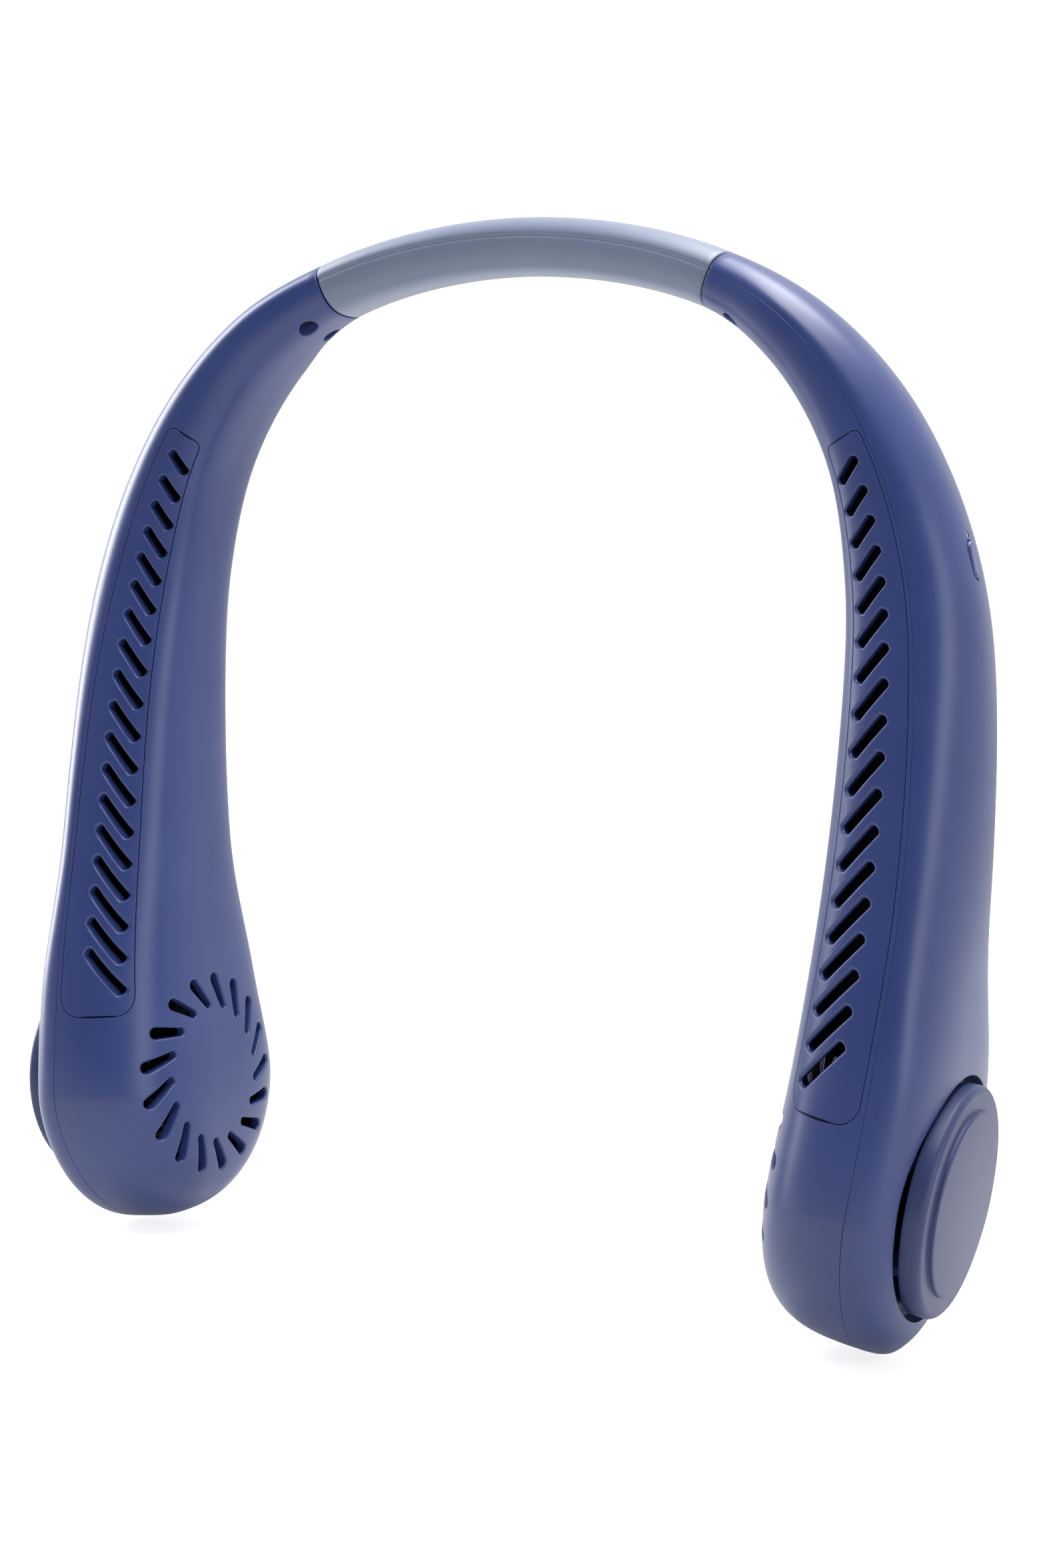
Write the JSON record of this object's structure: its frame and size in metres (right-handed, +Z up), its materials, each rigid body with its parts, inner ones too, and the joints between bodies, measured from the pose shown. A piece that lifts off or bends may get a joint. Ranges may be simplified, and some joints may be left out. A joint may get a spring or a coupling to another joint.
{
  "type": "electric neck fan",
  "caption": "Neck fan: hollow moulded arms with slotted air outlets on a bendable sleeve, a centrifugal fan in each bulb end, and a power button on one arm.",
  "frame": {"origin": "seat on the neck: the middle of the sleeve's underside at the crown of the bow", "axes": "+X towards the arm with the power button, -Y towards the side with the air slots, +Z up"},
  "size_m": [0.1954, 0.056, 0.2032],
  "materials": {
    "sleeve": "satin silicone, smooth and slightly greyer than the shells",
    "spring_steel": "rolled spring strip",
    "wire_red": "insulated wire",
    "wire_yellow": "insulated wire",
    "dark_plastic": "plain moulded plastic",
    "shell_inner": "satin moulded plastic with a fine spark-eroded grain",
    "shell_outer": "satin moulded plastic with a fine spark-eroded grain",
    "grille": "satin moulded plastic",
    "cap": "satin moulded plastic with a smoother disc",
    "screw_steel": "zinc plated",
    "duct_plastic": "plain moulded plastic",
    "cell_wrap": "heat-shrink wrap",
    "motor_metal": "die cast",
    "copper": "enamelled winding on laminated steel",
    "bronze": "sintered bush",
    "impeller_dark": "moulded plastic",
    "can_steel": "drawn steel can",
    "magnet": "bonded ferrite",
    "shaft_steel": "ground steel",
    "button": "satin moulded plastic",
    "board": "solder mask",
    "switch_metal": "stamped cover",
    "port_steel": "drawn shell",
    "light_pipe": "clear moulded light guide"
  },
  "bodies": {
    "neck": {"strip_saddle": "dark_plastic", "neck_sleeve": "sleeve", "spring_strip": "spring_steel", "neck_harness": "wire_red"},
    "left_arm": {"left_inner_shell": "shell_inner", "left_outer_shell": "shell_outer", "left_outlet_grille": "grille", "left_intake_cap": "cap", "left_neck_plug": "dark_plastic", "left_plug_screws": "screw_steel", "left_duct_wall": "duct_plastic", "left_battery_cell": "cell_wrap", "left_motor_leads": "wire_yellow", "left_motor_base": "motor_metal", "left_stator": "copper", "left_shaft_bush": "bronze"},
    "right_arm": {"right_inner_shell": "shell_inner", "right_outer_shell": "shell_outer", "right_outlet_grille": "grille", "right_intake_cap": "cap", "right_neck_plug": "dark_plastic", "right_plug_screws": "screw_steel", "right_duct_wall": "duct_plastic", "right_battery_cell": "cell_wrap", "right_motor_leads": "wire_yellow", "right_motor_base": "motor_metal", "right_stator": "copper", "right_shaft_bush": "bronze", "main_board": "board", "tact_switch": "switch_metal", "charge_port": "port_steel", "light_guide": "light_pipe"},
    "left_fan": {"left_impeller": "impeller_dark", "left_rotor_can": "can_steel", "left_magnet_ring": "magnet", "left_motor_shaft": "shaft_steel"},
    "right_fan": {"right_impeller": "impeller_dark", "right_rotor_can": "can_steel", "right_magnet_ring": "magnet", "right_motor_shaft": "shaft_steel"},
    "power_key": {"power_button": "button"}
  },
  "joints": [
    {"name": "left_arm_flex", "type": "hinge", "parent": "neck", "child": "left_arm", "pos_m": [-0.02188, 0, 0.0046], "axis": [0, -1, 0], "range_deg": [-25, 8], "stiffness_Nm_per_rad": 3, "deforming": ["neck_sleeve", "spring_strip", "neck_harness"]},
    {"name": "right_arm_flex", "type": "hinge", "parent": "neck", "child": "right_arm", "pos_m": [0.02188, 0, 0.0046], "axis": [0, 1, 0], "range_deg": [-25, 8], "stiffness_Nm_per_rad": 3, "deforming": ["neck_sleeve", "spring_strip", "neck_harness"]},
    {"name": "left_fan_spin", "type": "hinge", "parent": "left_arm", "child": "left_fan", "pos_m": [-0.08324, 0, -0.16238], "axis": [-0.9938, 0, -0.1107], "continuous": true},
    {"name": "right_fan_spin", "type": "hinge", "parent": "right_arm", "child": "right_fan", "pos_m": [0.08324, 0, -0.16238], "axis": [0.9938, 0, -0.1107], "continuous": true},
    {"name": "power_button_press", "type": "slide", "parent": "right_arm", "child": "power_key", "axis": [-0.9688, 0, -0.2476], "range_m": [0, 0.0005], "stiffness_N_per_m": 500}
  ]
}
